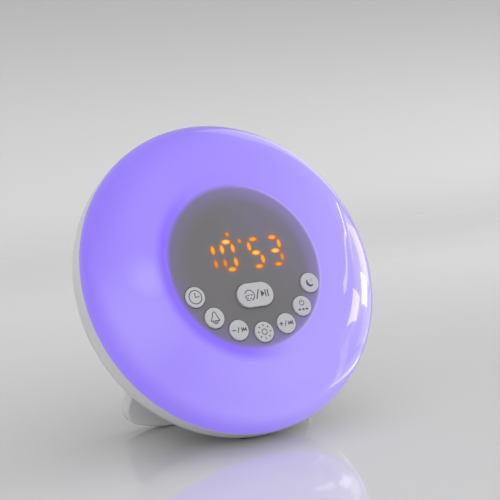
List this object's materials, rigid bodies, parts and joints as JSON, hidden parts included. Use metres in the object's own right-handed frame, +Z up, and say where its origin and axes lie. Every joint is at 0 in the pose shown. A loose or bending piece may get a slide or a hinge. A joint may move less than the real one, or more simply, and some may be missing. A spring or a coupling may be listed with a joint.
{
  "type": "sunrise alarm clock",
  "caption": "Round bedside sunrise lamp and alarm clock: milky front dome with a recessed key and display panel, white bowl back with a fold-out stand and battery door.",
  "frame": {"origin": "middle of the footprint of the box, on the table", "axes": "+Z up, +X to the right across the face, the face looks along -Y and upwards"},
  "size_m": [0.17, 0.106, 0.158],
  "materials": {
    "milky_dome": "gloss milky diffuser, lit violet",
    "white_gloss": "gloss white",
    "key_plastic": "satin white",
    "black_rubber": "matt",
    "zinc_steel": "zinc plated",
    "pin_steel": "ground",
    "circuit_green": "solder mask green",
    "circuit_white": "white",
    "black_plastic": "matt black",
    "switch_plastic": "moulded",
    "amber_glow": "clear resin light bar, lit",
    "amber_off": "clear resin light bar, unlit",
    "led_body": "moulded",
    "speaker_steel": "black zinc",
    "paper_cone": "pressed paper",
    "gasket_foam": "foam",
    "cell_jacket": "plain jacket",
    "nickel": "nickel plated",
    "ribbon_grey": "grey"
  },
  "bodies": {
    "housing": {"rear_bowl": "white_gloss", "front_dome": "milky_dome", "key_board": "circuit_green", "key_switches": "switch_plastic", "display_mask": "black_plastic", "lit_segments": "amber_glow", "dark_segments": "amber_off", "light_baffle": "black_plastic", "reflector_pan": "circuit_white", "led_ring_board": "circuit_white", "colour_leds": "led_body", "speaker_frame": "speaker_steel", "speaker_cone": "paper_cone", "speaker_magnet": "speaker_steel", "speaker_gasket": "gasket_foam", "case_screws": "zinc_steel", "pan_screws": "zinc_steel", "key_board_screws": "zinc_steel", "power_board_screws": "zinc_steel", "speaker_screws": "zinc_steel", "battery_cells": "cell_jacket", "battery_contacts": "nickel", "power_board": "circuit_green", "power_socket": "nickel", "board_components": "black_plastic", "ribbon_cable": "ribbon_grey", "hinge_pin": "pin_steel", "bowl_pad": "black_rubber"},
    "stand": {"stand": "white_gloss", "stand_pad": "black_rubber"},
    "battery_door": {"battery_door": "white_gloss"},
    "time_key": {"time_key": "key_plastic"},
    "alarm_key": {"alarm_key": "key_plastic"},
    "minus_key": {"minus_key": "key_plastic"},
    "light_key": {"light_key": "key_plastic"},
    "plus_key": {"plus_key": "key_plastic"},
    "power_key": {"power_key": "key_plastic"},
    "sleep_key": {"sleep_key": "key_plastic"},
    "snooze_key": {"snooze_key": "key_plastic"}
  },
  "joints": [
    {"name": "time_key_press", "type": "slide", "parent": "housing", "child": "time_key", "axis": [0, 0.8829, -0.4695], "range_m": [0, 0.0007], "stiffness_N_per_m": 400, "springref_m": -0.001},
    {"name": "alarm_key_press", "type": "slide", "parent": "housing", "child": "alarm_key", "axis": [0, 0.8829, -0.4695], "range_m": [0, 0.0007], "stiffness_N_per_m": 400, "springref_m": -0.001},
    {"name": "minus_key_press", "type": "slide", "parent": "housing", "child": "minus_key", "axis": [0, 0.8829, -0.4695], "range_m": [0, 0.0007], "stiffness_N_per_m": 400, "springref_m": -0.001},
    {"name": "light_key_press", "type": "slide", "parent": "housing", "child": "light_key", "axis": [0, 0.8829, -0.4695], "range_m": [0, 0.0007], "stiffness_N_per_m": 400, "springref_m": -0.001},
    {"name": "plus_key_press", "type": "slide", "parent": "housing", "child": "plus_key", "axis": [0, 0.8829, -0.4695], "range_m": [0, 0.0007], "stiffness_N_per_m": 400, "springref_m": -0.001},
    {"name": "power_key_press", "type": "slide", "parent": "housing", "child": "power_key", "axis": [0, 0.8829, -0.4695], "range_m": [0, 0.0007], "stiffness_N_per_m": 400, "springref_m": -0.001},
    {"name": "sleep_key_press", "type": "slide", "parent": "housing", "child": "sleep_key", "axis": [0, 0.8829, -0.4695], "range_m": [0, 0.0007], "stiffness_N_per_m": 400, "springref_m": -0.001},
    {"name": "snooze_key_press", "type": "slide", "parent": "housing", "child": "snooze_key", "axis": [0, 0.8829, -0.4695], "range_m": [0, 0.0007], "stiffness_N_per_m": 400, "springref_m": -0.001},
    {"name": "stand_fold", "type": "hinge", "parent": "housing", "child": "stand", "pos_m": [0, 0.00871, 0.03822], "axis": [1, 0, 0], "range_deg": [-29, 0]},
    {"name": "battery_door_swing", "type": "hinge", "parent": "housing", "child": "battery_door", "pos_m": [0, 0.01068, 0.0528], "axis": [-1, 0, 0], "range_deg": [0, 75]}
  ]
}
